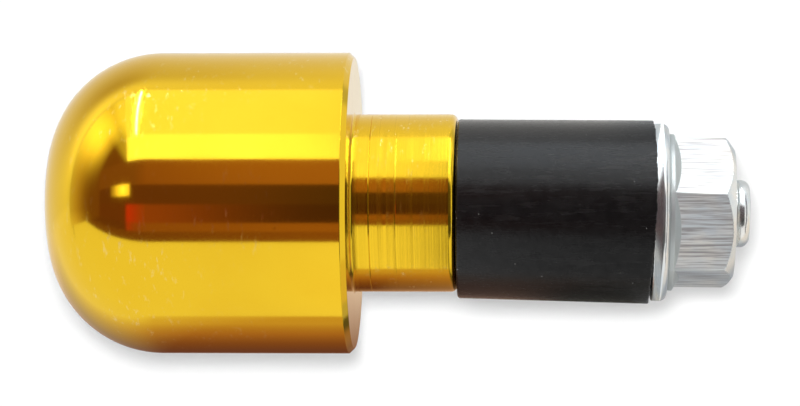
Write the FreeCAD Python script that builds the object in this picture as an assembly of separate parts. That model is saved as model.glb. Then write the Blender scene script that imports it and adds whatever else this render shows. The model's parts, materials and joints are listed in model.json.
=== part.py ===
"""Handlebar bar end: a domed aluminium weight with an expanding rubber plug, in millimetres.

The weight's axis is the X axis. The origin is the centre of the shoulder face, the flat ring
that comes to rest against the end of the handlebar. The dome points to -X and the plug, which
goes into the bar, to +X. Turning the nut draws the washer towards the collar, and the rubber
sleeve between them swells until it grips the bore of the bar.
"""

import FreeCAD
import Part
import math
import os

# Weight: a domed end, a straight side and a collar, all turned from one bar
weight_diameter = 29.0
weight_length = 29.6
crown_radius = 46.5
dome_corner_radius = 11.0
rim_chamfer = 0.5
collar_diameter = 17.1
collar_length = 9.9
collar_end_radius = 0.5
collar_root_radius = 0.25

# Stud: M8, screwed into a blind tapped hole in the weight, with a round-nosed plain point
stud_diameter = 8.0
stud_engagement = 27.0
stud_projection = 1.5
stud_point_diameter = 6.45
stud_point_length = 1.6
stud_point_taper = 30.0
stud_nose_radius = 0.9
stud_inner_chamfer = 0.8
hole_runout = 2.0
drill_point_angle = 118.0

# The stud stands a little out of square: it leans to -Y about a point of the weight's axis
stud_lean_angle = 1.0
lean_centre = -21.5

# Mating threads are drawn plain, with this radial play between them
thread_play = 0.06

# Sleeve: a plain rubber tube on the stud, slack, so a little air is left before it
sleeve_diameter = 17.4
sleeve_length = 18.3
sleeve_gap = 0.2
sleeve_bore_play = 0.3

# Washer: punched, so one outer edge is well rounded and the other nearly sharp
washer_diameter = 17.0
washer_thickness = 1.5
washer_bore_play = 0.2
washer_outer_round = 0.7
washer_edge_break = 0.15

# Nut: a hexagon on a round conical base, chamfered at its outer end only
nut_across_flats = 13.0
nut_height = 6.3
nut_base_land = 0.5
nut_base_taper = 60.0
nut_face_margin = 0.4
nut_chamfer_angle = 35.0
nut_countersink_depth = 0.3
nut_rest_angle = 16.0

# Radii that follow from the sizes above
weight_radius = weight_diameter / 2
collar_radius = collar_diameter / 2
collar_flat_radius = collar_radius - collar_end_radius
stud_radius = stud_diameter / 2
stud_point_radius = stud_point_diameter / 2
tapped_radius = stud_radius + thread_play
nut_corner_radius = nut_across_flats / 2 / math.cos(math.radians(30))
nut_face_radius = nut_across_flats / 2 - nut_face_margin

# Stations along the stud's axis. The sleeve's end is square to the stud, so the air between
# it and the flat end of the collar is a thin wedge, and its gap is measured where it is least.
lean = math.radians(stud_lean_angle)
collar_reach = (collar_length - lean_centre) * math.cos(lean)
sleeve_start = lean_centre + collar_reach + collar_flat_radius * math.sin(lean) + sleeve_gap
washer_start = sleeve_start + sleeve_length
nut_start = washer_start + washer_thickness
nut_end = nut_start + nut_height
stud_outer_end = nut_end + stud_projection
stud_inner_end = collar_length - stud_engagement
hole_floor = stud_inner_end - hole_runout
drill_tip = hole_floor - tapped_radius / math.tan(math.radians(drill_point_angle / 2))

X_AXIS = FreeCAD.Vector(1, 0, 0)
Z_AXIS = FreeCAD.Vector(0, 0, 1)
ORIGIN = FreeCAD.Vector(0, 0, 0)
LEAN = FreeCAD.Placement(
    ORIGIN,
    FreeCAD.Rotation(Z_AXIS, -stud_lean_angle),
    FreeCAD.Vector(lean_centre, 0, 0),
)


def at(x, radius):
    """A point of a turned profile: its place along the axis and its distance from it."""
    return FreeCAD.Vector(x, radius, 0)


def straight(start, end):
    """A straight edge of a profile."""
    return Part.LineSegment(start, end).toShape()


def corner_arc(centre, radius, start_angle, end_angle):
    """An arc of a profile, from one angle to another in degrees, measured from +X towards +Y."""
    middle_angle = (start_angle + end_angle) / 2
    points = []
    for angle in (start_angle, middle_angle, end_angle):
        turn = math.radians(angle)
        points.append(centre + FreeCAD.Vector(radius * math.cos(turn), radius * math.sin(turn), 0))
    return Part.Arc(*points).toShape()


def chain(*points):
    """Straight edges through the points, in order."""
    return [straight(start, end) for start, end in zip(points, points[1:])]


def turned(edges):
    """The solid that a closed profile sweeps about the X axis."""
    return Part.Face(Part.Wire(edges)).revolve(ORIGIN, X_AXIS, 360)


def leaning(shape):
    """The shape, drawn on the X axis, moved onto the stud's own axis."""
    placed = shape.copy()
    placed.Placement = LEAN.multiply(placed.Placement)
    return placed


def weight_blank():
    """The turned outline of the weight, before its hole is drilled."""
    crown_centre = at(crown_radius - weight_length, 0)
    corner_height = weight_radius - dome_corner_radius
    centre_distance = crown_radius - dome_corner_radius
    centre_gap = math.sqrt(centre_distance ** 2 - corner_height ** 2)
    corner_centre = at(crown_centre.x - centre_gap, corner_height)
    meeting_angle = 180 - math.degrees(math.asin(corner_height / centre_distance))

    root_centre = at(collar_root_radius, collar_radius + collar_root_radius)
    end_centre = at(collar_length - collar_end_radius, collar_flat_radius)

    crown = corner_arc(crown_centre, crown_radius, 180, meeting_angle)
    corner = corner_arc(corner_centre, dome_corner_radius, meeting_angle, 90)
    side_and_shoulder = chain(
        at(corner_centre.x, weight_radius),
        at(-rim_chamfer, weight_radius),
        at(0, weight_radius - rim_chamfer),
        at(0, root_centre.y),
    )
    root = corner_arc(root_centre, collar_root_radius, 180, 270)
    collar_side = straight(at(root_centre.x, collar_radius), at(end_centre.x, collar_radius))
    collar_end = corner_arc(end_centre, collar_end_radius, 90, 0)
    end_and_axis = chain(
        at(collar_length, end_centre.y),
        at(collar_length, 0),
        at(-weight_length, 0),
    )
    outline = [crown, corner] + side_and_shoulder + [root, collar_side, collar_end] + end_and_axis
    return turned(outline)


def tapped_hole():
    """The space of the blind tapped hole, with the cone that the drill leaves at its floor."""
    mouth = collar_length + collar_radius
    return leaning(turned(chain(
        at(drill_tip, 0),
        at(hole_floor, tapped_radius),
        at(mouth, tapped_radius),
        at(mouth, 0),
        at(drill_tip, 0),
    )))


def weight():
    """Dome, side, shoulder and collar in one piece, with the stud's hole."""
    return weight_blank().cut(tapped_hole())


def stud():
    """Stud with a chamfered inner end, and a plain round-nosed point past its thread."""
    point_start = stud_outer_end - stud_point_length
    taper_length = (stud_radius - stud_point_radius) / math.tan(math.radians(stud_point_taper))
    nose_centre = at(stud_outer_end - stud_nose_radius, stud_point_radius - stud_nose_radius)
    body = chain(
        at(stud_outer_end, nose_centre.y),
        at(stud_outer_end, 0),
        at(stud_inner_end, 0),
        at(stud_inner_end, stud_radius - stud_inner_chamfer),
        at(stud_inner_end + stud_inner_chamfer, stud_radius),
        at(point_start - taper_length, stud_radius),
        at(point_start, stud_point_radius),
        at(nose_centre.x, stud_point_radius),
    )
    nose = corner_arc(nose_centre, stud_nose_radius, 90, 0)
    return leaning(turned(body + [nose]))


def sleeve():
    """Rubber tube on the stud, cut square to it at both ends."""
    outer_radius = sleeve_diameter / 2
    bore_radius = stud_radius + sleeve_bore_play
    return leaning(turned(chain(
        at(sleeve_start, bore_radius),
        at(sleeve_start, outer_radius),
        at(washer_start, outer_radius),
        at(washer_start, bore_radius),
        at(sleeve_start, bore_radius),
    )))


def washer():
    """Round washer with its well rounded edge on the nut's side."""
    outer_radius = washer_diameter / 2
    bore_radius = stud_radius + washer_bore_play
    round_centre = at(nut_start - washer_outer_round, outer_radius - washer_outer_round)
    edge = washer_edge_break
    body = chain(
        at(nut_start, round_centre.y),
        at(nut_start, bore_radius),
        at(washer_start + edge, bore_radius),
        at(washer_start, bore_radius + edge),
        at(washer_start, outer_radius - edge),
        at(washer_start + edge, outer_radius),
        at(round_centre.x, outer_radius),
    )
    rounded = corner_arc(round_centre, washer_outer_round, 90, 0)
    return leaning(turned(body + [rounded]))


def hexagon():
    """Six-sided bar over the nut's height, with one corner at the nut's angle at rest."""
    corners = []
    for corner in range(7):
        angle = math.radians(nut_rest_angle + 60 * corner)
        y = nut_corner_radius * math.cos(angle)
        z = nut_corner_radius * math.sin(angle)
        corners.append(FreeCAD.Vector(nut_start, y, z))
    return Part.Face(Part.makePolygon(corners)).extrude(X_AXIS * nut_height)


def nut_chamfer():
    """The cone and cylinder that the hexagon is turned down to at its outer end."""
    drop = nut_corner_radius - nut_face_radius
    chamfer_depth = drop * math.tan(math.radians(nut_chamfer_angle))
    return turned(chain(
        at(nut_start, 0),
        at(nut_start, nut_corner_radius),
        at(nut_end - chamfer_depth, nut_corner_radius),
        at(nut_end, nut_face_radius),
        at(nut_end, 0),
        at(nut_start, 0),
    ))


def nut_base():
    """The round base of the nut, a short land and then a cone that runs up into the flats."""
    drop = nut_corner_radius - nut_face_radius
    land_end = nut_start + nut_base_land
    cone_end = land_end + drop / math.tan(math.radians(nut_base_taper))
    return turned(chain(
        at(nut_start, 0),
        at(nut_start, nut_corner_radius),
        at(land_end, nut_corner_radius),
        at(cone_end, nut_face_radius),
        at(cone_end, 0),
        at(nut_start, 0),
    ))


def nut_bore():
    """The space of the nut's thread, countersunk at both ends."""
    mouth_radius = tapped_radius + nut_countersink_depth
    return turned(chain(
        at(nut_start, 0),
        at(nut_start, mouth_radius),
        at(nut_start + nut_countersink_depth, tapped_radius),
        at(nut_end - nut_countersink_depth, tapped_radius),
        at(nut_end, mouth_radius),
        at(nut_end, 0),
        at(nut_start, 0),
    ))


def nut():
    """Hexagon nut with its round base, outer chamfer and bore."""
    body = hexagon().common(nut_chamfer()).fuse(nut_base()).removeSplitter()
    return leaning(body.cut(nut_bore()))


PIECES = {
    "weight": weight,
    "stud": stud,
    "sleeve": sleeve,
    "washer": washer,
    "nut": nut,
}


def main():
    """Build every piece and write each one to its own file."""
    os.makedirs("parts", exist_ok=True)
    for name, build in PIECES.items():
        shape = build()
        shape.exportStep(os.path.join("parts", name + ".step"))
        print(name, len(shape.Solids), "solid", shape.isValid(), round(shape.Volume, 1), "mm3")


if __name__ == "__main__":
    main()
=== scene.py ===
import json
import math

import bmesh
import bpy
import numpy as np
from mathutils import Matrix, Vector


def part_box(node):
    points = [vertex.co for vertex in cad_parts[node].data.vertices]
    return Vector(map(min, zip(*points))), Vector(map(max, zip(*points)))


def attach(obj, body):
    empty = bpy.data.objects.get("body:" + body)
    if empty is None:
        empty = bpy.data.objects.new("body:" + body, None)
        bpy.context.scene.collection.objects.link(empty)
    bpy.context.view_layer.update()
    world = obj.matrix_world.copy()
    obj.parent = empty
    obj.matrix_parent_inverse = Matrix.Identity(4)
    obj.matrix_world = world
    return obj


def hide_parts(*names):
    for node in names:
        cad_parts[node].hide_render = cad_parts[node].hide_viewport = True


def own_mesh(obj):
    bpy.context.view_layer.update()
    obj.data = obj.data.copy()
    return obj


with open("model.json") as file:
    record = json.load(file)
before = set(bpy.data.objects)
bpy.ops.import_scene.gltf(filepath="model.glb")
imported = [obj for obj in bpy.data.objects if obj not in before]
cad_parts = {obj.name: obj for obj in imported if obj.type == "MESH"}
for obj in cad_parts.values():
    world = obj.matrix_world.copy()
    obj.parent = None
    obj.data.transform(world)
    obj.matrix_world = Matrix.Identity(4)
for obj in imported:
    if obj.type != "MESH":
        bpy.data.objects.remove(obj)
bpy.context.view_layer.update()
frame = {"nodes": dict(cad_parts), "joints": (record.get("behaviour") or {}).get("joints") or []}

MM = 0.001
FULL_TURN = 2 * math.pi
ROUND_STEPS = 256
ARC_STEPS = 5

# Extra rows so far from each edge keep the shading of the flat stretches flat. A rounding may
# take only this share of the shorter stretch next to it.
SUPPORT = 0.05 * MM
LONGEST_TANGENT = 0.45

# Weight
CROWN_RADIUS = 46.5 * MM
DOME_CORNER_RADIUS = 11.0 * MM
DOME_STEPS = 40
CROWN_STEPS = 10
RIM_CHAMFER = 0.5 * MM
COLLAR_DIAMETER = 17.1 * MM
COLLAR_ROOT_ROUND = 0.25 * MM
COLLAR_END_ROUND = 0.62 * MM
SHARP_EDGE_ROUND = 0.08 * MM
MOUTH_MARGIN = 2.0 * MM
TAPPED_DIAMETER = 8.12 * MM
HOLE_RUNOUT = 2.0 * MM
DRILL_HALF_ANGLE = math.radians(59)

# Lines that the tool left round the collar: place, half width and depth
TOOL_MARKS = (
    (1.78 * MM, 0.06 * MM, 0.025 * MM),
    (4.3 * MM, 0.05 * MM, 0.008 * MM),
)

# The most worn spot of the gold
SCUFF_PLACE = Vector((-19.5, -4.6, 13.75)) * MM
SCUFF_RADIUS = 6.5 * MM

# Stud and its thread, whose crest ends and whose root starts so far from its ridge, in pitches
PITCH = 1.25 * MM
THREAD_CREST_RADIUS = 3.98 * MM
THREAD_ROOT_RADIUS = 3.24 * MM
THREAD_CREST_END = 1 / 16
THREAD_ROOT_START = 3 / 8
THREAD_ROWS_PER_PITCH = 16
LEAST_RADIUS = 0.001 * MM
STUD_STEPS = 96
STUD_TAPER = math.radians(30)
STUD_POINT_RADIUS = 3.225 * MM
STUD_POINT_LENGTH = 1.6 * MM
STUD_NOSE_ROUND = 0.9 * MM
STUD_NOSE_STEPS = 13
STUD_INNER_CHAMFER = 0.8 * MM
STUD_GROOVE_PLACE = 0.21 * MM
STUD_GROOVE_HALF_WIDTH = 0.08 * MM
STUD_GROOVE_DEPTH = 0.12 * MM

# Sleeve: fuller by the washer and thinner by the collar, where it ends in a narrow foot and a
# slanted rim. Its other rim is bowed and ragged, and laps the washer on one side.
SLEEVE_TAPER = 0.1 * MM
SLEEVE_WALL_PLAY = 0.3 * MM
SLEEVE_EDGE_ROUND = 0.1 * MM
SLEEVE_FOOT = 0.17 * MM
SLEEVE_STEP = 0.12 * MM
SLEEVE_BOW = 0.18 * MM
SLEEVE_SKEW = 0.07 * MM
SLEEVE_SAG = 0.1 * MM
SLEEVE_SLANT = 0.12 * MM
SLEEVE_LIP_REACH = 0.28 * MM
SLEEVE_LIP_SIDE = math.radians(65)
SLEEVE_LAP_PLAY = 0.06 * MM
SLEEVE_RAGGEDNESS = 0.03 * MM
SLEEVE_RIM_DEPTH = 0.3 * MM
SLEEVE_STEPS = 720

# Waves round the ragged rim: height, peaks and phase
RAGGED_WAVES = ((1.0, 17, 0.4), (0.8, 41, 1.9), (0.7, 97, 2.6))

# Washer
WASHER_BORE_RADIUS = 4.2 * MM
WASHER_OUTER_ROUND = 0.7 * MM
WASHER_EDGE_ROUND = 0.15 * MM

# Nut
NUT_ACROSS_FLATS = 13.0 * MM
NUT_LAND = 0.5 * MM
NUT_BASE_TAPER = math.radians(60)
NUT_FACE_MARGIN = 0.4 * MM
NUT_CHAMFER = math.radians(35)
NUT_COUNTERSINK = 0.45 * MM
NUT_BORE_RADIUS = 3.33 * MM
NUT_THREAD_PLAY = 0.1 * MM
NUT_CORNER_ROUND = 0.38 * MM
NUT_EDGE_ROUND = 0.12 * MM
NUT_REST_ANGLE = math.radians(16)
NUT_FLAT_STEPS = 26
NUT_CORNER_STEPS = 8
NUT_SIDES = 6
HALF_SIDE = math.pi / NUT_SIDES

# Finishes: the range of each roughness, and the depth of each bump
GOLD_ROUGHNESS = (0.085, 0.11)
COLLAR_ROUGHNESS = (0.09, 0.22)
GOLD_BUMP = 0.004 * MM
ZINC_ROUGHNESS = (0.18, 0.24)
ZINC_BUMP = 0.01 * MM
RUBBER_ROUGHNESS = (0.22, 0.27)
RUBBER_GLOSS = 0.4
RUBBER_BUMP = 0.012 * MM

# Specks: spacing, radius, and the share of the spots that have one
GOLD_PITS = (2.2 * MM, 0.11 * MM, 0.12)
ZINC_PITS = (1.4 * MM, 0.1 * MM, 0.12)
RUBBER_DUST = (1.1 * MM, 0.08 * MM, 0.4)
SPECK_CORE = 0.6


def joint(name):
    """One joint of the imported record."""
    return next(entry for entry in frame["joints"] if entry["name"] == name)


# The stud's own line: its direction out of the bar end, and the seat under the nut as its zero
OUTWARD = -Vector(joint("nut_turn")["axis"]).normalized()
SEAT = Vector(joint("nut_turn")["pos_m"])
UPWARD = Vector((0, 0, 1))
SIDEWAYS = UPWARD.cross(OUTWARD).normalized()
STUD_LINE = Matrix.Translation(SEAT) @ Matrix((OUTWARD, SIDEWAYS, UPWARD)).transposed().to_4x4()


def span(node):
    """Where a node starts and ends along the stud's line, and its largest distance from it."""
    low = math.inf
    high = -math.inf
    reach = 0
    for vertex in frame["nodes"][node].data.vertices:
        offset = vertex.co - SEAT
        along = offset.dot(OUTWARD)
        low = min(low, along)
        high = max(high, along)
        reach = max(reach, (offset - along * OUTWARD).length)
    return low, high, reach


# Outlines of turned pieces: lists of (along the axis, distance from it)


def arc(centre, radius, start, end, steps):
    """Points of an arc between two angles, measured from the axis' direction outwards."""
    points = []
    for step in range(steps + 1):
        angle = start + (end - start) * step / steps
        points.append((centre[0] + radius * math.cos(angle), centre[1] + radius * math.sin(angle)))
    return points


def rounded(corners, closed=False):
    """An outline through corners (along, out, rounding), each one rounded by an arc.

    A straight stretch gets a point close to each of its ends, so that its shading stays flat.
    """
    count = len(corners)
    points = []
    for index, (along, out, rounding) in enumerate(corners):
        here = Vector((along, out))
        is_end = not closed and index in (0, count - 1)
        if is_end or rounding <= 0:
            points.append((along, out))
            continue
        before = Vector(corners[index - 1][:2]) - here
        after = Vector(corners[(index + 1) % count][:2]) - here
        half = before.angle(after) / 2
        room = LONGEST_TANGENT * min(before.length, after.length)
        tangent = min(rounding / math.tan(half), room)
        radius = tangent * math.tan(half)
        inward = (before.normalized() + after.normalized()).normalized()
        centre = here + inward * radius / math.sin(half)
        first = here + before.normalized() * tangent - centre
        last = here + after.normalized() * tangent - centre
        sweep = first.angle_signed(last)
        lead = before.normalized() * (tangent + min(SUPPORT, room - tangent))
        tail = after.normalized() * (tangent + min(SUPPORT, room - tangent))
        points.append(tuple(here + lead))
        for step in range(ARC_STEPS + 1):
            turn = Matrix.Rotation(-sweep * step / ARC_STEPS, 2)
            points.append(tuple(centre + turn @ first))
        points.append(tuple(here + tail))
    return points


# Meshes through rings of points


def circle(along, radius, steps=ROUND_STEPS):
    """A ring of points about the X axis, or one point where it has no radius."""
    if radius <= 0:
        return np.array([[along, 0, 0]])
    angle = np.arange(steps) * FULL_TURN / steps
    return np.column_stack([np.full(steps, along), radius * np.cos(angle), radius * np.sin(angle)])


def skin(name, rings, looped=False):
    """A closed mesh through rings; a ring of one point is a pole, and looped joins last to first."""
    starts = np.cumsum([0] + [len(ring) for ring in rings])
    faces = []
    pairs = list(zip(range(len(rings)), range(1, len(rings))))
    if looped:
        pairs.append((len(rings) - 1, 0))
    for one, other in pairs:
        steps = max(len(rings[one]), len(rings[other]))
        for step in range(steps):
            following = (step + 1) % steps
            near = [starts[one] + step, starts[one] + following]
            far = [starts[other] + following, starts[other] + step]
            if len(rings[one]) == 1:
                near = [starts[one]]
            if len(rings[other]) == 1:
                far = [starts[other]]
            faces.append([int(corner) for corner in near + far])
    mesh = bpy.data.meshes.new(name)
    mesh.from_pydata(np.concatenate(rings).tolist(), [], faces)
    shape = bmesh.new()
    shape.from_mesh(mesh)
    bmesh.ops.recalc_face_normals(shape, faces=shape.faces)
    shape.to_mesh(mesh)
    shape.free()
    mesh.polygons.foreach_set("use_smooth", [True] * len(mesh.polygons))
    mesh.update()
    return mesh


def new_object(name, mesh, material):
    """An object at the origin that wears one material."""
    mesh.materials.clear()
    mesh.materials.append(material)
    piece = bpy.data.objects.new(name, mesh)
    bpy.context.scene.collection.objects.link(piece)
    return piece


def on_stud_line(piece):
    """Places a piece's mesh, drawn along X from the nut's seat, on the stud's line."""
    piece.data.transform(STUD_LINE)
    piece.data.update()


# Node trees


def connect(tree, socket, value):
    """Sets a socket to a value, or links it where the value is another node's output."""
    if isinstance(value, bpy.types.NodeSocket):
        tree.links.new(value, socket)
    else:
        socket.default_value = value


def add_node(tree, kind, settings=None, inputs=None):
    """A node with its settings and its inputs, which are named or numbered."""
    made = tree.nodes.new(kind)
    for name, value in (settings or {}).items():
        setattr(made, name, value)
    for name, value in (inputs or {}).items():
        connect(tree, made.inputs[name], value)
    return made


def calculate(tree, operation, *values):
    """The result of a Math node."""
    return add_node(tree, "ShaderNodeMath", {"operation": operation}, dict(enumerate(values))).outputs[0]


def ramp(tree, value, low, high, start=0.0, end=1.0):
    """A value between low and high mapped to start and end, and held beyond them."""
    inputs = {"Value": value, "From Min": low, "From Max": high, "To Min": start, "To Max": end}
    return add_node(tree, "ShaderNodeMapRange", {}, inputs).outputs["Result"]


def thread_tree():
    """Geometry Nodes that cut a V thread along X into a fine round wall, outside or in a bore."""
    tree = bpy.data.node_groups.new("cut_thread", "GeometryNodeTree")
    face = tree.interface
    face.new_socket("Geometry", in_out="INPUT", socket_type="NodeSocketGeometry")
    for name in ("Pitch", "Crest Radius", "Root Radius", "Play"):
        face.new_socket(name, in_out="INPUT", socket_type="NodeSocketFloat")
    face.new_socket("In A Bore", in_out="INPUT", socket_type="NodeSocketBool")
    face.new_socket("Finish", in_out="INPUT", socket_type="NodeSocketMaterial")
    face.new_socket("Geometry", in_out="OUTPUT", socket_type="NodeSocketGeometry")
    given = tree.nodes.new("NodeGroupInput").outputs
    place = tree.nodes.new("GeometryNodeInputPosition").outputs[0]
    parts = add_node(tree, "ShaderNodeSeparateXYZ", {}, {0: place}).outputs
    across = calculate(tree, "MULTIPLY", parts["Y"], parts["Y"])
    upright = calculate(tree, "MULTIPLY", parts["Z"], parts["Z"])
    radius = calculate(tree, "SQRT", calculate(tree, "ADD", across, upright))

    # How far a point is from the middle of the nearest ridge, in pitches
    angle = calculate(tree, "ARCTAN2", parts["Z"], parts["Y"])
    turn = calculate(tree, "DIVIDE", angle, FULL_TURN)
    travel = calculate(tree, "DIVIDE", parts["X"], given["Pitch"])
    phase = calculate(tree, "FRACT", calculate(tree, "SUBTRACT", travel, turn))
    off_ridge = calculate(tree, "ABSOLUTE", calculate(tree, "SUBTRACT", phase, 0.5))
    crest, root = given["Crest Radius"], given["Root Radius"]
    ridge = ramp(tree, off_ridge, THREAD_CREST_END, THREAD_ROOT_START, crest, root)

    outside = calculate(tree, "MINIMUM", radius, ridge)
    inside = calculate(tree, "MAXIMUM", radius, calculate(tree, "ADD", ridge, given["Play"]))
    choice = {"Switch": given["In A Bore"], "False": outside, "True": inside}
    cut = add_node(tree, "GeometryNodeSwitch", {"input_type": "FLOAT"}, choice).outputs[0]
    share = calculate(tree, "DIVIDE", cut, calculate(tree, "MAXIMUM", radius, LEAST_RADIUS))
    moved = {
        "X": parts["X"],
        "Y": calculate(tree, "MULTIPLY", parts["Y"], share),
        "Z": calculate(tree, "MULTIPLY", parts["Z"], share),
    }
    position = add_node(tree, "ShaderNodeCombineXYZ", {}, moved).outputs[0]
    shaped = {"Geometry": given["Geometry"], "Position": position}
    bent = add_node(tree, "GeometryNodeSetPosition", {}, shaped).outputs[0]
    real = add_node(tree, "GeometryNodeRealizeInstances", {}, {0: bent}).outputs[0]
    dressed = {"Geometry": real, "Material": given["Finish"]}
    finished = add_node(tree, "GeometryNodeSetMaterial", {}, dressed).outputs[0]
    result = tree.nodes.new("NodeGroupOutput")
    tree.links.new(finished, result.inputs[0])
    return tree


def cut_thread(piece, play=None):
    """Cuts a plated thread into a piece and keeps the result as its plain mesh.

    A piece that is given some play has the thread in its bore, and any other has it outside.
    """
    settings = {
        "Pitch": PITCH,
        "Crest Radius": THREAD_CREST_RADIUS,
        "Root Radius": THREAD_ROOT_RADIUS,
        "Play": play or 0.0,
        "In A Bore": play is not None,
        "Finish": ZINC,
    }
    modifier = piece.modifiers.new("thread", "NODES")
    modifier.node_group = THREAD
    for socket in THREAD.interface.items_tree:
        if socket.in_out == "INPUT" and socket.name in settings:
            modifier[socket.identifier] = settings[socket.name]
    bpy.context.view_layer.update()
    evaluated = piece.evaluated_get(bpy.context.evaluated_depsgraph_get())
    mesh = bpy.data.meshes.new_from_object(evaluated)
    piece.modifiers.clear()
    piece.data = mesh


# Finishes


def new_finish(name):
    """A material with its tree, its shader and the coordinates of the part's own frame."""
    material = bpy.data.materials.new(name)
    material.use_nodes = True
    tree = material.node_tree
    shader = tree.nodes["Principled BSDF"]
    place = tree.nodes.new("ShaderNodeTexCoord").outputs["Object"]
    return material, tree, shader, place


def noise(tree, place, stretch, detail=2.0, roughness=0.5, turn=(0, 0, 0)):
    """Cloudy noise with so many features a metre along each axis."""
    mapping = {"Vector": place, "Rotation": turn, "Scale": stretch}
    mapped = add_node(tree, "ShaderNodeMapping", {}, mapping).outputs[0]
    inputs = {"Vector": mapped, "Scale": 1.0, "Detail": detail, "Roughness": roughness}
    return add_node(tree, "ShaderNodeTexNoise", {}, inputs).outputs["Fac"]


def specks(tree, place, spacing, radius, share):
    """Small round specks, one in some of the cells of a grid of so many metres."""
    inputs = {"Vector": place, "Scale": 1 / spacing}
    cell = add_node(tree, "ShaderNodeTexVoronoi", {}, inputs)
    edge = radius / spacing
    near = ramp(tree, cell.outputs["Distance"], edge * SPECK_CORE, edge, 1.0, 0.0)
    parts = add_node(tree, "ShaderNodeSeparateColor", {}, {0: cell.outputs["Color"]}).outputs
    chosen = calculate(tree, "LESS_THAN", parts[0], share)
    return calculate(tree, "MULTIPLY", near, chosen)


def bell(tree, value):
    """1 where the value is zero, and less on both sides of it."""
    square = calculate(tree, "MULTIPLY", value, value)
    return calculate(tree, "EXPONENT", calculate(tree, "MULTIPLY", square, -1.0))


def spot(tree, place, centre, radius):
    """A soft round spot, 1 in its middle."""
    inputs = {0: place, 1: centre}
    away = add_node(tree, "ShaderNodeVectorMath", {"operation": "DISTANCE"}, inputs).outputs["Value"]
    return bell(tree, calculate(tree, "DIVIDE", away, radius))


def blend_colour(tree, factor, one, other):
    """A colour between two, where the factor goes from 0 to 1."""
    made = add_node(tree, "ShaderNodeMix", {"data_type": "RGBA"}, {"Factor": factor})
    connect(tree, made.inputs[6], one)
    connect(tree, made.inputs[7], other)
    return made.outputs[2]


def bump(tree, height, depth):
    """A normal that follows a height of so many metres."""
    inputs = {"Height": height, "Distance": depth, "Strength": 1.0}
    return add_node(tree, "ShaderNodeBump", {}, inputs).outputs["Normal"]


def gold_finish():
    """Turned aluminium, polished and gold anodised; the collar keeps the marks of the tool."""
    material, tree, shader, place = new_finish("gold_aluminium")
    parts = add_node(tree, "ShaderNodeSeparateXYZ", {}, {0: place}).outputs
    on_collar = ramp(tree, parts["X"], 0.1 * MM, 0.5 * MM)
    lines = noise(tree, place, (3200, 12, 12), 3.0, 0.8)
    bands = noise(tree, place, (2100, 5, 5), 3.0, 0.8)
    patches = noise(tree, place, (160, 160, 160), 3.0)
    grain = noise(tree, place, (2600, 2600, 2600), 2.0)
    slanted = noise(tree, place, (1900, 500, 1100), 3.0, 0.7, (0, 0, 0.3))
    strokes = ramp(tree, slanted, 0.59, 0.72)
    worn_patch = ramp(tree, noise(tree, place, (75, 110, 110), 1.0), 0.48, 0.62)
    scuffed = spot(tree, place, tuple(SCUFF_PLACE), SCUFF_RADIUS)
    worn_share = calculate(tree, "MAXIMUM", worn_patch, scuffed)
    scratches = calculate(tree, "MULTIPLY", strokes, worn_share)
    pits = specks(tree, place, *GOLD_PITS)

    light = (0.84, 0.55, 0.027, 1)
    deep = (0.80, 0.49, 0.02, 1)
    worn = (0.9, 0.72, 0.3, 1)
    burnt = (0.5, 0.27, 0.012, 1)
    colour = blend_colour(tree, patches, light, deep)
    marked = calculate(tree, "MULTIPLY", scratches, 0.5)
    scratched = blend_colour(tree, marked, colour, worn)
    banded = calculate(tree, "MULTIPLY", ramp(tree, bands, 0.6, 0.72, 0.0, 0.6), on_collar)
    connect(tree, shader.inputs["Base Color"], blend_colour(tree, banded, scratched, burnt))
    shader.inputs["Metallic"].default_value = 1.0

    smooth = ramp(tree, patches, 0.3, 0.7, *GOLD_ROUGHNESS)
    turned = ramp(tree, lines, 0.35, 0.65, *COLLAR_ROUGHNESS)
    base = add_node(tree, "ShaderNodeMix", {}, {"Factor": on_collar, 2: smooth, 3: turned}).outputs[0]
    rubbed = calculate(tree, "ADD", base, calculate(tree, "MULTIPLY", scratches, 0.15))
    connect(tree, shader.inputs["Roughness"], rubbed)

    line_height = calculate(tree, "MULTIPLY", lines, ramp(tree, on_collar, 0, 1, 0.08, 0.6))
    fine = calculate(tree, "MULTIPLY", grain, 0.12)
    height = calculate(tree, "ADD", line_height, fine)
    dented = calculate(tree, "SUBTRACT", height, calculate(tree, "MULTIPLY", pits, 0.9))
    connect(tree, shader.inputs["Normal"], bump(tree, dented, GOLD_BUMP))
    return material


def mark(tree, name):
    """How far a mesh marks a spot, from 0 to 1."""
    return add_node(tree, "ShaderNodeAttribute", {"attribute_name": name}).outputs["Fac"]


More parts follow.
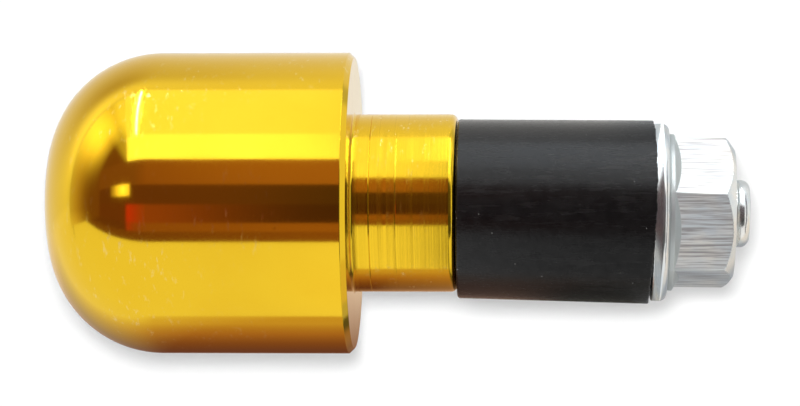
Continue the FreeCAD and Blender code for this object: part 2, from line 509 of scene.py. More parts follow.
def zinc_finish():
    """Bright zinc plate with a faint blue cast, in places ground or dull, where the mesh says so."""
    material, tree, shader, place = new_finish("zinc_steel")
    clouds = noise(tree, place, (330, 330, 330), 3.0)
    streaks = noise(tree, place, (170, 5200, 5200), 3.0, 0.65)
    grain = noise(tree, place, (3600, 3600, 3600), 3.0)
    pits = specks(tree, place, *ZINC_PITS)
    ground = mark(tree, "ground")
    dull = mark(tree, "dull")
    blue = (0.74, 0.79, 0.82, 1)
    warm = (0.88, 0.865, 0.82, 1)
    stain = (0.32, 0.3, 0.3, 1)
    grey_blue = (0.56, 0.6, 0.6, 1)
    plate = blend_colour(tree, ramp(tree, clouds, 0.35, 0.65), blue, warm)
    colour = blend_colour(tree, dull, plate, grey_blue)
    dark_streaks = calculate(tree, "MULTIPLY", ramp(tree, streaks, 0.42, 0.62, 0.0, 0.85), ground)
    streaked = blend_colour(tree, dark_streaks, colour, stain)
    stained = calculate(tree, "MULTIPLY", pits, ramp(tree, ground, 0, 1, 0.2, 0.6))
    connect(tree, shader.inputs["Base Color"], blend_colour(tree, stained, streaked, stain))

    less_metallic = calculate(tree, "MULTIPLY", ground, 0.3)
    metallic = calculate(tree, "SUBTRACT", ramp(tree, dull, 0, 1, 1.0, 0.85), less_metallic)
    connect(tree, shader.inputs["Metallic"], metallic)
    bright = ramp(tree, grain, 0.3, 0.7, *ZINC_ROUGHNESS)
    ground_share = calculate(tree, "MULTIPLY", ground, 0.12)
    rougher = calculate(tree, "ADD", ground_share, calculate(tree, "MULTIPLY", dull, 0.22))
    connect(tree, shader.inputs["Roughness"], calculate(tree, "ADD", bright, rougher))
    grooves = calculate(tree, "MULTIPLY", streaks, ground)
    fine = calculate(tree, "MULTIPLY", grain, ramp(tree, ground, 0, 1, 0.06, 0.3))
    height = calculate(tree, "ADD", grooves, fine)
    dented = calculate(tree, "SUBTRACT", height, calculate(tree, "MULTIPLY", pits, 0.15))
    connect(tree, shader.inputs["Normal"], bump(tree, dented, ZINC_BUMP))
    return material


def rubber_finish():
    """Satin black rubber, faintly mottled, with specks of pale dust."""
    material, tree, shader, place = new_finish("black_rubber")
    mottle = noise(tree, place, (1100, 1100, 1100), 4.0)
    grain = noise(tree, place, (5200, 5200, 5200), 3.0, 0.6)
    scuffs = ramp(tree, noise(tree, place, (260, 2400, 2400), 3.0, 0.7), 0.52, 0.7)
    dust = specks(tree, place, *RUBBER_DUST)
    dull = (0.0022, 0.0022, 0.0023, 1)
    dusty = (0.0045, 0.0045, 0.0046, 1)
    pale = (0.13, 0.13, 0.125, 1)
    colour = blend_colour(tree, ramp(tree, mottle, 0.35, 0.7), dull, dusty)
    connect(tree, shader.inputs["Base Color"], blend_colour(tree, dust, colour, pale))
    satin = ramp(tree, mottle, 0.3, 0.7, *RUBBER_ROUGHNESS)
    rubbed = calculate(tree, "ADD", satin, calculate(tree, "MULTIPLY", scuffs, 0.12))
    connect(tree, shader.inputs["Roughness"], rubbed)
    shader.inputs["Specular IOR Level"].default_value = RUBBER_GLOSS
    height = calculate(tree, "ADD", grain, calculate(tree, "MULTIPLY", mottle, 0.8))
    connect(tree, shader.inputs["Normal"], bump(tree, height, RUBBER_BUMP))
    return material


def floor_finish():
    """Plain white paper."""
    material, tree, shader, place = new_finish("white_paper")
    fibre = noise(tree, place, (90, 90, 90), 3.0)
    white = (0.93, 0.93, 0.93, 1)
    softer = (0.92, 0.92, 0.92, 1)
    connect(tree, shader.inputs["Base Color"], blend_colour(tree, fibre, white, softer))
    shader.inputs["Roughness"].default_value = 1.0
    shader.inputs["Specular IOR Level"].default_value = 0.0
    return material


GOLD = gold_finish()
ZINC = zinc_finish()
RUBBER = rubber_finish()
PAPER = floor_finish()
THREAD = thread_tree()

WEIGHT_LOW, WEIGHT_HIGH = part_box("weight")
STUD_START, STUD_END, STUD_RADIUS = span("stud")
SLEEVE_START, SLEEVE_END, SLEEVE_RADIUS = span("sleeve")
WASHER_START, WASHER_END, WASHER_RADIUS = span("washer")
NUT_END, NUT_RADIUS = span("nut")[1:]


def weight_outline():
    """The weight from the tip of its dome to the flat end of its collar."""
    radius = WEIGHT_HIGH.y
    length = -WEIGHT_LOW.x
    collar_length = WEIGHT_HIGH.x
    collar_radius = COLLAR_DIAMETER / 2
    crown_centre = CROWN_RADIUS - length
    corner_height = radius - DOME_CORNER_RADIUS
    distance = CROWN_RADIUS - DOME_CORNER_RADIUS
    corner_centre = crown_centre - math.sqrt(distance ** 2 - corner_height ** 2)
    meeting = math.pi - math.asin(corner_height / distance)
    crown = arc((crown_centre, 0), CROWN_RADIUS, math.pi, meeting, CROWN_STEPS)
    crown[0] = (-length, 0)
    corner = arc((corner_centre, corner_height), DOME_CORNER_RADIUS, meeting, math.pi / 2, DOME_STEPS)
    corners = [
        (corner_centre + SUPPORT, radius, 0),
        (-RIM_CHAMFER, radius, SHARP_EDGE_ROUND),
        (0, radius - RIM_CHAMFER, SHARP_EDGE_ROUND),
        (0, collar_radius, COLLAR_ROOT_ROUND),
    ]
    for place, half_width, depth in TOOL_MARKS:
        corners.append((place - half_width, collar_radius, depth))
        corners.append((place, collar_radius - depth, depth))
        corners.append((place + half_width, collar_radius, depth))
    corners.append((collar_length, collar_radius, COLLAR_END_ROUND))
    corners.append((collar_length, TAPPED_DIAMETER / 2 + MOUTH_MARGIN, 0))
    return crown + corner[1:] + rounded(corners)


def weight_bore_rings():
    """Rings of the leaning tapped hole, from its mouth in the flat end down to the drill's tip."""
    mouth_plane = WEIGHT_HIGH.x
    radius = TAPPED_DIAMETER / 2
    floor = STUD_START - HOLE_RUNOUT
    tip = floor - radius / math.tan(DRILL_HALF_ANGLE)
    turn = np.array(STUD_LINE.to_3x3())
    seat = np.array(SEAT)

    def placed(along, out):
        return circle(along, out) @ turn.T + seat

    mouth = placed(0, radius)
    slide = (mouth_plane - mouth[:, 0]) / OUTWARD.x
    mouth = mouth + slide[:, None] * np.array(OUTWARD)
    below = mouth - SUPPORT * np.array(OUTWARD)
    return [mouth, below, placed(floor + SUPPORT, radius), placed(floor, radius), placed(tip, 0)]


def make_weight():
    """Dome, side, shoulder and collar in one piece, with the stud's hole."""
    rings = [circle(along, out) for along, out in weight_outline()]
    mesh = skin("bar_end_weight", rings + weight_bore_rings())
    piece = new_object("bar_end_weight", mesh, GOLD)
    piece.visible_diffuse = False
    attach(piece, "weight")
    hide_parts("weight")


def make_stud():
    """Stud with a real thread up to the taper of its round-nosed point."""
    point_start = STUD_END - STUD_POINT_LENGTH
    taper_start = point_start - (STUD_RADIUS - STUD_POINT_RADIUS) / math.tan(STUD_TAPER)
    chamfer_end = STUD_START + STUD_INNER_CHAMFER
    outline = [(STUD_START, 0), (STUD_START, STUD_RADIUS - STUD_INNER_CHAMFER)]
    rows = math.ceil((point_start - chamfer_end) / PITCH * THREAD_ROWS_PER_PITCH)
    for row in range(rows + 1):
        along = chamfer_end + (point_start - chamfer_end) * row / rows
        taper = max(0, along - taper_start) * math.tan(STUD_TAPER)
        outline.append((along, STUD_RADIUS - taper))
    groove = NUT_END + STUD_GROOVE_PLACE
    outline += [
        (groove - STUD_GROOVE_HALF_WIDTH, STUD_POINT_RADIUS),
        (groove, STUD_POINT_RADIUS - STUD_GROOVE_DEPTH),
        (groove + STUD_GROOVE_HALF_WIDTH, STUD_POINT_RADIUS),
    ]
    nose = (STUD_END - STUD_NOSE_ROUND, STUD_POINT_RADIUS - STUD_NOSE_ROUND)
    outline += arc(nose, STUD_NOSE_ROUND, math.pi / 2, 0, STUD_NOSE_STEPS)
    outline += [(STUD_END, nose[1] - SUPPORT), (STUD_END, 0)]
    rings = [circle(along, out, STUD_STEPS) for along, out in outline]
    piece = new_object("m8_stud", skin("m8_stud", rings), ZINC)
    cut_thread(piece)
    on_stud_line(piece)
    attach(piece, "weight")
    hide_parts("stud")


def make_sleeve():
    """Rubber sleeve, a little fuller under the washer, whose rim laps over the washer's edge."""
    bore = STUD_RADIUS + SLEEVE_WALL_PLAY
    start_radius = SLEEVE_RADIUS - SLEEVE_TAPER
    end_radius = SLEEVE_RADIUS + SLEEVE_TAPER
    corners = [
        (SLEEVE_START - SLEEVE_FOOT, bore, SLEEVE_EDGE_ROUND),
        (SLEEVE_START - SLEEVE_FOOT, start_radius - SLEEVE_STEP, SLEEVE_EDGE_ROUND),
        (SLEEVE_START, start_radius, SLEEVE_EDGE_ROUND),
        (SLEEVE_END, end_radius, SLEEVE_EDGE_ROUND),
        (SLEEVE_END, bore, SLEEVE_EDGE_ROUND),
    ]
    outline = rounded(corners, closed=True)
    rings = [circle(along, out, SLEEVE_STEPS) for along, out in outline]
    mesh = skin("rubber_sleeve", rings, looped=True)
    lap_start = WASHER_RADIUS + SLEEVE_LAP_PLAY
    for vertex in mesh.vertices:
        angle = math.atan2(vertex.co.z, vertex.co.y)
        out = math.hypot(vertex.co.y, vertex.co.z)
        ragged = sum(high * math.sin(peaks * angle + phase) for high, peaks, phase in RAGGED_WAVES)
        across = vertex.co.y / SLEEVE_RADIUS
        if vertex.co.x > SLEEVE_END - SLEEVE_RIM_DEPTH and out > lap_start:
            facing = max(0.0, math.cos(angle - SLEEVE_LIP_SIDE))
            vertex.co.x += SLEEVE_LIP_REACH * facing ** 2 + SLEEVE_RAGGEDNESS * ragged
            vertex.co.x += SLEEVE_SKEW * across - SLEEVE_BOW * across ** 2
        if vertex.co.x < SLEEVE_START + SLEEVE_RIM_DEPTH:
            vertex.co.x -= SLEEVE_SAG + SLEEVE_SLANT * across
    piece = new_object("rubber_sleeve", mesh, RUBBER)
    on_stud_line(piece)
    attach(piece, "weight")
    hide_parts("sleeve")
    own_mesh(piece)


def mark_washer(mesh):
    """Marks the washer's dull faces."""
    dull = mesh.attributes.new("dull", "FLOAT", "POINT")
    face_radius = WASHER_RADIUS - WASHER_OUTER_ROUND + SUPPORT
    for vertex in mesh.vertices:
        out = math.hypot(vertex.co.y, vertex.co.z)
        dull.data[vertex.index].value = float(out < face_radius)


def make_washer():
    """Punched washer, well rounded on the nut's side."""
    corners = [
        (WASHER_START, WASHER_BORE_RADIUS, WASHER_EDGE_ROUND),
        (WASHER_START, WASHER_RADIUS, WASHER_EDGE_ROUND),
        (WASHER_END, WASHER_RADIUS, WASHER_OUTER_ROUND),
        (WASHER_END, WASHER_BORE_RADIUS, SHARP_EDGE_ROUND),
    ]
    rings = [circle(along, out) for along, out in rounded(corners, closed=True)]
    piece = new_object("round_washer", skin("round_washer", rings, looped=True), ZINC)
    mark_washer(piece.data)
    on_stud_line(piece)
    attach(piece, "washer")
    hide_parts("washer")


def hexagon_angles():
    """Angles about the nut, closer together round its corners, and how far out it is at each."""
    inset = NUT_ACROSS_FLATS / 2 - NUT_CORNER_ROUND
    centre = inset / math.cos(HALF_SIDE)
    tangent_out = centre + NUT_CORNER_ROUND * math.cos(HALF_SIDE)
    tangent_side = NUT_CORNER_ROUND * math.sin(HALF_SIDE)
    corner_half = math.atan2(tangent_side, tangent_out)
    flat_half = HALF_SIDE - corner_half
    pairs = []
    for side in range(NUT_SIDES):
        middle = NUT_REST_ANGLE + (2 * side + 1) * HALF_SIDE
        for step in range(NUT_FLAT_STEPS):
            offset = flat_half * (2 * step / NUT_FLAT_STEPS - 1)
            pairs.append((middle + offset, NUT_ACROSS_FLATS / 2 / math.cos(offset)))
        for step in range(NUT_CORNER_STEPS):
            offset = corner_half * (2 * step / NUT_CORNER_STEPS - 1)
            reach = math.sqrt(NUT_CORNER_ROUND ** 2 - (centre * math.sin(offset)) ** 2)
            pairs.append((middle + HALF_SIDE + offset, centre * math.cos(offset) + reach))
    return pairs


def nut_outline(flat_out):
    """The nut's outline where its flats are so far out: base, cone, flat, chamfer, face, bore."""
    corner_out = NUT_RADIUS
    face_out = NUT_ACROSS_FLATS / 2 - NUT_FACE_MARGIN
    cone_end = NUT_LAND + (corner_out - flat_out) / math.tan(NUT_BASE_TAPER)
    chamfer_start = NUT_END - (flat_out - face_out) * math.tan(NUT_CHAMFER)
    mouth = NUT_BORE_RADIUS + NUT_COUNTERSINK + (THREAD_CREST_RADIUS - THREAD_ROOT_RADIUS) / 2
    depth = mouth - NUT_BORE_RADIUS
    corners = [
        (0, mouth, SHARP_EDGE_ROUND),
        (0, corner_out, NUT_EDGE_ROUND),
        (NUT_LAND, corner_out, NUT_EDGE_ROUND),
        (cone_end, flat_out, NUT_EDGE_ROUND),
        (chamfer_start, flat_out, NUT_EDGE_ROUND),
        (NUT_END, face_out, NUT_EDGE_ROUND),
        (NUT_END, mouth, SHARP_EDGE_ROUND),
    ]
    rows = math.ceil(NUT_END / PITCH * THREAD_ROWS_PER_PITCH)
    for row in range(1, rows):
        along = NUT_END * (1 - row / rows)
        flare = max(0, 1 - min(along, NUT_END - along) / depth)
        corners.append((along, NUT_BORE_RADIUS + flare * (mouth - NUT_BORE_RADIUS), 0))
    return rounded(corners, closed=True)


def mark_nut(mesh):
    """Marks the nut's dull base, its land and its cone, and its ground flats."""
    dull = mesh.attributes.new("dull", "FLOAT", "POINT")
    ground = mesh.attributes.new("ground", "FLOAT", "POINT")
    face_out = NUT_ACROSS_FLATS / 2 - NUT_FACE_MARGIN
    for vertex in mesh.vertices:
        out = math.hypot(vertex.co.y, vertex.co.z)
        cone_end = NUT_LAND + (NUT_RADIUS - out) / math.tan(NUT_BASE_TAPER)
        chamfer_start = NUT_END - (out - face_out) * math.tan(NUT_CHAMFER)
        is_outside = out > NUT_ACROSS_FLATS / 2 - SUPPORT
        is_base = vertex.co.x < cone_end + SUPPORT
        is_flat = vertex.co.x < chamfer_start - SUPPORT
        dull.data[vertex.index].value = float(is_base and out > THREAD_CREST_RADIUS)
        ground.data[vertex.index].value = float(is_outside and is_flat and not is_base)


def make_nut():
    """Hexagon nut on a round conical base, with a real thread in its bore."""
    pairs = hexagon_angles()
    outlines = np.array([nut_outline(flat_out) for angle, flat_out in pairs])
    angles = np.array([angle for angle, flat_out in pairs])
    rings = []
    for row in range(outlines.shape[1]):
        along = outlines[:, row, 0]
        out = outlines[:, row, 1]
        rings.append(np.column_stack([along, out * np.cos(angles), out * np.sin(angles)]))
    piece = new_object("hex_nut", skin("hex_nut", rings, looped=True), ZINC)
    mark_nut(piece.data)
    cut_thread(piece, NUT_THREAD_PLAY)
    on_stud_line(piece)
    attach(piece, "nut")
    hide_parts("nut")


# Floor, lights and camera

FLOOR_SIZE = 3.0
TABLE_REACH = (0.8, 0.4)
TABLE_DROP = 0.1 * MM
CAMERA_PLACE = Vector((19.5, 0, 291)) * MM
CAMERA_TARGET = Vector((4.34, 0, 0)) * MM
CAMERA_LENS = 136.0
SENSOR_WIDTH = 36.0
X_AXIS = Vector((1, 0, 0))
Y_AXIS = Vector((0, 1, 0))

# Places along X where the cards over the dome, the collar and the plug meet, and where they end
CARD_LEFT = -1.6
SOFTBOX_LEFT = -0.131
COLLAR_SEAM = -0.0165
PLUG_SEAM = 0.002
CARD_RIGHT = 0.25

# The tent of cards and the wall, with the cards' foot and the wall's bearings in degrees
TENT_RADIUS = 0.25
STRIP_RADIUS = 0.245
CARD_FOOT = 93.3
WALL_RADIUS = 0.36
WALL_HEIGHT = 0.45
WALL_STEPS = 48
WALL_BEARINGS = (108, 190)
WALL_PATCH_TURN = math.radians(38)
WALL_PATCH_WIDTH = math.radians(15)
END_PANEL_WIDTH = 0.5

# The room and the two lamps
ROOM_COLOUR = (0.045, 0.043, 0.043, 1)
LAMP_PLACE = Vector((0.012, 0.0235, 0.29))
LAMP_WIDTH = 0.048
LAMP_IRRADIANCE = 1.8
FILL_IRRADIANCE = 1.8
FILL_SOFTNESS = math.radians(60)


def stage_sheet(name, points, faces, finish):
    """A sheet of the scene's surroundings, made with its finish."""
    mesh = bpy.data.meshes.new(name)
    mesh.from_pydata(points, [], faces)
    sheet = new_object(name, mesh, finish)
    return sheet


def level_sheet(name, low, high, level, finish):
    """A level rectangle between two corners."""
    corners = [
        (low[0], low[1], level),
        (high[0], low[1], level),
        (high[0], high[1], level),
        (low[0], high[1], level),
    ]
    return stage_sheet(name, corners, [(0, 1, 2, 3)], finish)


def make_floor():
    """A plain pale floor under the weight, whose mirror image the table stands for."""
    half = FLOOR_SIZE / 2
    floor = level_sheet("floor", (-half, -half), (half, half), WEIGHT_LOW.z, PAPER)
    floor.visible_glossy = False


def glow_finish(name, glows):
    """A material that only glows, with the sum of some colours, each with its own strength."""
    material = bpy.data.materials.new(name)
    material.use_nodes = True
    tree = material.node_tree
    tree.nodes.clear()
    place = tree.nodes.new("ShaderNodeTexCoord").outputs["Object"]
    parts = add_node(tree, "ShaderNodeSeparateXYZ", {}, {0: place}).outputs
    total = None
    for colour, strength in glows(tree, place, parts):
        inputs = {"Color": colour, "Strength": strength}
        glow = add_node(tree, "ShaderNodeEmission", {}, inputs).outputs[0]
        if total is not None:
            glow = add_node(tree, "ShaderNodeAddShader", {}, {0: total, 1: glow}).outputs[0]
        total = glow
    result = tree.nodes.new("ShaderNodeOutputMaterial")
    tree.links.new(total, result.inputs["Surface"])
    return material


def tone_ramp(tree, value, stops):
    """A colour that follows a value through stops (value, colour)."""
    low = stops[0][0]
    high = stops[-1][0]
    made = tree.nodes.new("ShaderNodeValToRGB")
    elements = made.color_ramp.elements
    elements[0].color = (*stops[0][1], 1)
    elements[1].color = (*stops[-1][1], 1)
    for place, colour in stops[1:-1]:
        elements.new((place - low) / (high - low)).color = (*colour, 1)
    connect(tree, made.inputs[0], ramp(tree, value, low, high))
    return made.outputs[0]


def table_glows(tree, place, parts):
    """Paper, brown on the near side of the dome and grey by the plug, with a dim and a lit patch: the
    brown and grey are the part's painted shadow, and the patches are painted shade and a painted pool of
    light.
    """
    level = WEIGHT_LOW.z
    # A patch of painted shade and a painted pool of light on the mirrored floor.
    dim = spot(tree, place, (-0.05, 0.055, level), 0.034)
    lit = spot(tree, place, (-0.16, 0.115, level), 0.08)
    white = (1.0, 1.0, 1.0, 1)
    # Painted shade: the paper is a little darker up to about 35 mm from the part on the far side.
    paper = blend_colour(tree, ramp(tree, parts["Y"], 0.035, 0.055), (0.92, 0.91, 0.88, 1), white)
    paper = blend_colour(tree, calculate(tree, "MULTIPLY", dim, 0.9), paper, (0.5, 0.41, 0.3, 1))
    # The part's painted shadow on the near side, darkest about 20 mm out.
    brown = tone_ramp(tree, parts["Y"], (
        (-0.1, (0.69, 0.5, 0.4)),
        (-0.052, (0.46, 0.23, 0.16)),
        (-0.033, (0.25, 0.1, 0.06)),
        (-0.02, (0.14, 0.05, 0.03)),
        (-0.0145, (0.3, 0.16, 0.1)),
        (-0.009, (0.7, 0.54, 0.42)),
    ))
    # Painted shade in greys by the zinc plug.
    by_zinc = tone_ramp(tree, parts["Y"], (
        (-0.06, (0.62, 0.62, 0.58)),
        (-0.035, (0.6, 0.61, 0.61)),
        (-0.02, (0.36, 0.37, 0.38)),
        (-0.009, (0.43, 0.44, 0.46)),
    ))
    greys = blend_colour(tree, ramp(tree, parts["X"], 0.027, 0.03), (0.12, 0.115, 0.1, 1), by_zinc)
    past_zinc = ramp(tree, parts["X"], 0.045, 0.055)
    # A painted grey patch of shade on the far side, by the washer and the nut.
    on_zinc = calculate(tree, "SUBTRACT", ramp(tree, parts["X"], 0.024, 0.03), past_zinc)
    paper = blend_colour(tree, on_zinc, paper, (0.62, 0.65, 0.67, 1))
    greys = blend_colour(tree, past_zinc, greys, (0.85, 0.77, 0.68, 1))
    # The painted shadow is paler by the collar.
    by_collar = calculate(
        tree,
        "ADD",
        ramp(tree, parts["X"], 0.0005, 0.003, 0.0, 0.2),
        ramp(tree, parts["X"], 0.004, 0.01, 0.0, 0.16),
    )
    brown = blend_colour(tree, by_collar, brown, (0.7, 0.5, 0.4, 1))
    by_dome = blend_colour(tree, ramp(tree, parts["X"], -0.06, -0.02), white, brown)
    near = blend_colour(tree, ramp(tree, parts["X"], 0.014, 0.02), by_dome, greys)
    colour = blend_colour(tree, ramp(tree, parts["Y"], -0.008, -0.004), near, paper)
    return (colour, 1.0), ((1, 0.95, 0.7, 1), calculate(tree, "MULTIPLY", lit, 0.5))


def wall_glows(tree, place, parts):
    """A painted reflection of a dim room: dim brown, paler towards the floor, with a broad painted
    bright patch on the far side.
    """
    behind = calculate(tree, "MULTIPLY", parts["X"], -1.0)
    side = calculate(tree, "ARCTAN2", parts["Y"], behind)
    rise = calculate(tree, "ARCTAN2", parts["Z"], WALL_RADIUS)
    dim = tone_ramp(tree, rise, (
        (math.radians(-3), (0.70, 0.64, 0.5)),
        (math.radians(6), (0.56, 0.42, 0.3)),
        (math.radians(12), (0.41, 0.27, 0.18)),
        (math.radians(18), (0.26, 0.14, 0.1)),
        (math.radians(24), (0.2, 0.09, 0.07)),
        (math.radians(50), (0.21, 0.08, 0.07)),
    ))
    pale = blend_colour(
        tree,
        ramp(tree, side, math.radians(53), math.radians(58)),
        (0.6, 0.54, 0.36, 1),
        (1.08, 1.1, 0.85, 1),
    )
    colour = blend_colour(tree, ramp(tree, side, math.radians(43), math.radians(49)), dim, pale)
    # A painted bright patch on the far side, fading higher up the wall.
    turn = calculate(tree, "SUBTRACT", side, WALL_PATCH_TURN)
    across = bell(tree, calculate(tree, "DIVIDE", turn, WALL_PATCH_WIDTH))
    upward = ramp(tree, rise, math.radians(18), math.radians(32), 1.5, 0.0)
    # A faint painted glow near the foot of the wall on the near side.
    nearer = ramp(tree, side, math.radians(-16), math.radians(-3), 0.42, 0.0)
    foot = ramp(tree, rise, math.radians(6), math.radians(26), 1.0, 0.0)
    low = ramp(tree, rise, math.radians(-2), math.radians(9), 0.7, 1.0)
    upward = calculate(tree, "MULTIPLY", upward, low)
    return (
        (colour, 1.0),
        ((1, 1, 0.7, 1), calculate(tree, "MULTIPLY", across, upward)),
        ((0.9, 1, 0.9, 1), calculate(tree, "MULTIPLY", nearer, foot)),
    )


def hide_from_all_but_gloss(sheet):
    """Only the mirror images in the part show the sheet."""
    sheet.visible_camera = False
    sheet.visible_diffuse = False
    sheet.visible_shadow = False


def make_table():
    """The mirror image of the floor, glowing and seen only in reflections, with painted shade in it."""
    finish = glow_finish("table", table_glows)
    low = tuple(-reach for reach in TABLE_REACH)
    level = WEIGHT_LOW.z - TABLE_DROP
    hide_from_all_but_gloss(level_sheet("table", low, TABLE_REACH, level, finish))


def wall_sheet(name, radius, bearings, heights, finish):
    """An upright part of a cylinder about the Z axis, between two bearings and two heights."""
    points = []
    faces = []
    for step in range(WALL_STEPS + 1):
        turn = math.radians(bearings[0] + (bearings[1] - bearings[0]) * step / WALL_STEPS)
        for height in heights:
            points.append((radius * math.cos(turn), radius * math.sin(turn), height))
    for step in range(WALL_STEPS):
        first = 2 * step
        faces.append((first, first + 2, first + 3, first + 1))
    return stage_sheet(name, points, faces, finish)


def make_wall():
    """What the end of the dome mirrors: a glowing wall, seen only in reflections, that paints them."""
    heights = (WEIGHT_LOW.z, WALL_HEIGHT)
    finish = glow_finish("wall", wall_glows)
    hide_from_all_but_gloss(wall_sheet("wall", WALL_RADIUS, WALL_BEARINGS, heights, finish))


def backdrop_glows(tree, place, parts):
    """An even pale glow."""
    return (((0.9, 0.9, 0.9, 1), 1.0),)


def make_backdrop():
    """A pale wall round the floor that only a camera sees."""
    heights = (WEIGHT_LOW.z, FLOOR_SIZE)
    finish = glow_finish("pale_backdrop", backdrop_glows)
    wall = wall_sheet("backdrop", FLOOR_SIZE / 2, (0, 360), heights, finish)
    wall.visible_diffuse = False
    wall.visible_glossy = False
    wall.visible_shadow = False


def panel(name, centre, across, facing, size, tones):
    """A glowing sheet that only gloss sees: across is its first side, facing its dark back.

    The tones are one colour, or stops (place along X, colour).
    """
    def glows(tree, place, parts):
        if isinstance(tones[0], tuple):
            return ((tone_ramp(tree, parts["X"], tones), 1.0),)
        return (((*tones, 1), 1.0),)

    half_across = across * size[0] / 2
    half_up = facing.cross(across) * size[1] / 2
    corners = [
        centre - half_across - half_up,
        centre + half_across - half_up,
        centre + half_across + half_up,
        centre - half_across + half_up,
    ]
    points = [tuple(corner) for corner in corners]
    hide_from_all_but_gloss(stage_sheet(name, points, [(0, 1, 2, 3)], glow_finish(name, glows)))


def held(stops, ends):
    """The stops, with the first and the last colour carried on to the ends."""
    before = () if stops[0][0] <= ends[0] else ((ends[0], stops[0][1]),)
    after = () if stops[-1][0] >= ends[1] else ((ends[1], stops[-1][1]),)
    return (*before, *stops, *after)


def card(name, angles, ends, tones, lean=0.0, radius=TENT_RADIUS):
    """A panel on a round tent about the X axis, which may lean in its own plane.

    The angles, in degrees, go from straight up towards +Y, and the ends are places along X.
    """
    if isinstance(tones[0], tuple):
        tones = held(tones, ends)
    low, high = (math.radians(angle) for angle in angles)
    middle = (low + high) / 2
    half = (high - low) / 2
    back = Vector((0, math.sin(middle), math.cos(middle)))
    centre = back * radius * math.cos(half) + X_AXIS * (ends[0] + ends[1]) / 2
    size = (ends[1] - ends[0], 2 * radius * math.sin(half))
    across = Matrix.Rotation(math.radians(lean), 3, back) @ X_AXIS
    panel(name, centre, across, back, size, tones)


def end_panel(name, distance, heights):
    """A pale panel that stands past the nut, across the X axis, and faces the part."""
    centre = X_AXIS * distance + UPWARD * (heights[0] + heights[1]) / 2
    size = (END_PANEL_WIDTH, heights[1] - heights[0])
    panel(name, centre, Y_AXIS, X_AXIS, size, grey(1.0))


def make_overhead():
    """A small round lamp above the part, so its shadows spread; gloss doesn't see it."""
    lamp = bpy.data.lights.new("overhead", "AREA")
    lamp.shape = "DISK"
    lamp.size = LAMP_WIDTH
    drop = LAMP_PLACE.z - WEIGHT_LOW.z
    lamp.energy = LAMP_IRRADIANCE * math.pi * drop ** 2
    light = bpy.data.objects.new("overhead", lamp)
    light.location = LAMP_PLACE
    light.visible_glossy = False
    light.visible_camera = False
    bpy.context.scene.collection.objects.link(light)


def make_fill():
    """A soft light from straight above without shadows, which gloss doesn't see."""
    lamp = bpy.data.lights.new("fill", "SUN")
    lamp.energy = FILL_IRRADIANCE
    lamp.angle = FILL_SOFTNESS
    lamp.use_shadow = False
    light = bpy.data.objects.new("fill", lamp)
    light.visible_glossy = False
    bpy.context.scene.collection.objects.link(light)


def grey(tone):
    """A colour without a hue."""
    return (tone, tone, tone)


def make_room():
    """The dim room round the cards."""
    world = bpy.data.worlds.new("dim_room")
    world.use_nodes = True
    world.node_tree.nodes["Background"].inputs["Color"].default_value = ROOM_COLOUR
    bpy.context.scene.world = world


def make_far_cards():
    """Softboxes on the far side, with two bright strips before them."""
    card("softbox", (52, CARD_FOOT), (SOFTBOX_LEFT, COLLAR_SEAM), grey(1.47))
    card("softbox_edge", (32.3, 52), (SOFTBOX_LEFT, COLLAR_SEAM), grey(1.95))
    card("softbox_collar", (32.3, CARD_FOOT), (COLLAR_SEAM, PLUG_SEAM), grey(1.3))
    card("softbox_plug", (55, CARD_FOOT), (PLUG_SEAM, CARD_RIGHT), (
        (0.028, (2.3, 2.5, 2.7)),
        (0.034, (1.0, 1.04, 1.08)),
        (0.04, (1.0, 1.04, 1.08)),
        (0.0415, (1.5, 1.53, 1.56)),
    ))
    card("softbox_plug_edge", (32, 55), (PLUG_SEAM, CARD_RIGHT), (
        (0.028, (0.7, 0.73, 0.76)),
        (0.034, (1.5, 1.53, 1.56)),
    ))
    card("strip", (53, CARD_FOOT), (-0.0865, -0.083), grey(90.0), lean=-4.5, radius=STRIP_RADIUS)
    card("strip_right", (41, CARD_FOOT), (0.077, 0.083), grey(25.0), radius=STRIP_RADIUS)


def make_near_cards():
    """Pale cards on the near side, dark by the washer and the nut, where they paint shade into the
    reflections of those parts.
    """
    near_tones = ((CARD_LEFT, grey(0.98)), (-0.03, grey(1.02)), (-0.014, grey(1.14)))
    card("near_card", (-CARD_FOOT, -28.5), (CARD_LEFT, PLUG_SEAM), near_tones)
    card("near_card_plug", (-CARD_FOOT, -39), (PLUG_SEAM, CARD_RIGHT), (
        (0.029, grey(0.14)),
        (0.034, (0.58, 0.6, 0.6)),
        (0.05, (0.58, 0.59, 0.57)),
        (0.056, grey(0.95)),
    ))
    card("near_card_plug_edge", (-39, -28), (PLUG_SEAM, CARD_RIGHT), (
        (0.028, grey(0.08)),
        (0.034, (0.1, 0.085, 0.09)),
        (0.041, (0.1, 0.085, 0.09)),
        (0.046, (0.42, 0.43, 0.41)),
    ))


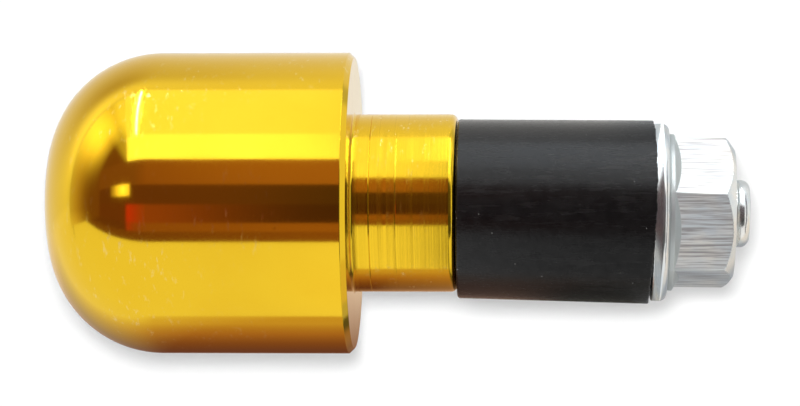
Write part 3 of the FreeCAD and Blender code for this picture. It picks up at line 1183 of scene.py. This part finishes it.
def make_top_cards():
    """Dim brown and red cards over the part, which glow only in reflections: a painted reflection of the
    dim room, with a painted red glint and a painted shade on the stud's point, and the lamp's own glow.
    """
    card("dim_far", (13.5, 32.3), (CARD_LEFT, PLUG_SEAM), (
        (CARD_LEFT, (0.21, 0.09, 0.08)),
        (-0.1, (0.24, 0.1, 0.09)),
        (-0.05, (0.31, 0.12, 0.1)),
        (-0.034, (0.42, 0.18, 0.14)),
        (PLUG_SEAM, (0.43, 0.19, 0.15)),
    ))
    card("dark_middle", (-1, 13.5), (CARD_LEFT, PLUG_SEAM), (
        (CARD_LEFT, (0.18, 0.07, 0.06)),
        (-0.05, (0.15, 0.055, 0.06)),
        (-0.034, (0.15, 0.06, 0.06)),
        (-0.02, (0.09, 0.045, 0.05)),
    ))
    # A painted red glint at the left end of this card and the next.
    card("red_middle", (-14.5, -1), (CARD_LEFT, PLUG_SEAM), (
        (-0.137, (0.16, 0.055, 0.06)),
        (-0.135, (0.66, 0.05, 0.05)),
        (-0.1, (0.5, 0.06, 0.06)),
        (-0.05, (0.33, 0.09, 0.08)),
        (-0.034, (0.14, 0.05, 0.05)),
        (-0.022, (0.07, 0.03, 0.04)),
    ))
    card("dim_near", (-21, -14.5), (CARD_LEFT, PLUG_SEAM), (
        (-0.137, (0.15, 0.055, 0.06)),
        (-0.135, (0.5, 0.06, 0.06)),
        (-0.1, (0.34, 0.09, 0.08)),
        (-0.05, (0.31, 0.12, 0.1)),
        (-0.02, (0.38, 0.16, 0.12)),
    ))
    card("dark_near", (-28.5, -21), (CARD_LEFT, PLUG_SEAM), (
        (CARD_LEFT, (0.18, 0.08, 0.07)),
        (-0.05, (0.2, 0.08, 0.07)),
        (-0.02, (0.28, 0.11, 0.09)),
    ))
    card("dim_plug", (-28, 32), (PLUG_SEAM, CARD_RIGHT), (
        (PLUG_SEAM, (0.09, 0.04, 0.045)),
        (0.022, (0.07, 0.045, 0.045)),
        (0.033, (0.04, 0.03, 0.035)),
        (0.04, (0.04, 0.03, 0.035)),
        (0.0415, (0.11, 0.09, 0.095)),
    ))
    card("stud_light", (-3, 32), (0.054, CARD_RIGHT), grey(0.95), radius=STRIP_RADIUS)
    # A dark card that paints shade into the reflection on the stud's point.
    card("stud_shade", (-52, -3), (0.053, CARD_RIGHT), grey(0.07), radius=STRIP_RADIUS)
    card("lamp", (5.5, 14.5), (-0.235, -0.117), (
        (-0.235, (0.25, 0.13, 0.08)),
        (-0.205, (0.8, 0.65, 0.4)),
        (-0.17, (1.9, 1.7, 1.1)),
        (-0.15, (2.3, 2.1, 1.4)),
        (-0.117, (1.4, 1.2, 0.8)),
    ), radius=STRIP_RADIUS)


def make_end_panels():
    """Two panels past the nut, with a dark gap between them."""
    end_panel("right_foot", 0.34, (WEIGHT_LOW.z, 0.055))
    end_panel("right_high", 0.3, (0.13, 0.36))


def make_camera():
    """The photograph's view: straight down on the bar end, its nut's end a little nearer."""
    view = bpy.data.cameras.new("camera")
    view.lens = CAMERA_LENS
    view.sensor_width = SENSOR_WIDTH
    view.sensor_fit = "HORIZONTAL"
    view.clip_start = MM
    camera = bpy.data.objects.new("camera", view)
    forward = (CAMERA_TARGET - CAMERA_PLACE).normalized()
    right = forward.cross(Y_AXIS).normalized()
    upright = right.cross(forward)
    turn = Matrix((right, upright, -forward)).transposed().to_4x4()
    camera.matrix_world = Matrix.Translation(CAMERA_PLACE) @ turn
    bpy.context.scene.collection.objects.link(camera)
    bpy.context.scene.camera = camera


make_weight()
make_stud()
make_sleeve()
make_washer()
make_nut()
make_floor()
make_table()
make_wall()
make_backdrop()
make_room()
make_far_cards()
make_near_cards()
make_top_cards()
make_end_panels()
make_overhead()
make_fill()
make_camera()
bpy.context.scene.view_settings.view_transform = "Standard"
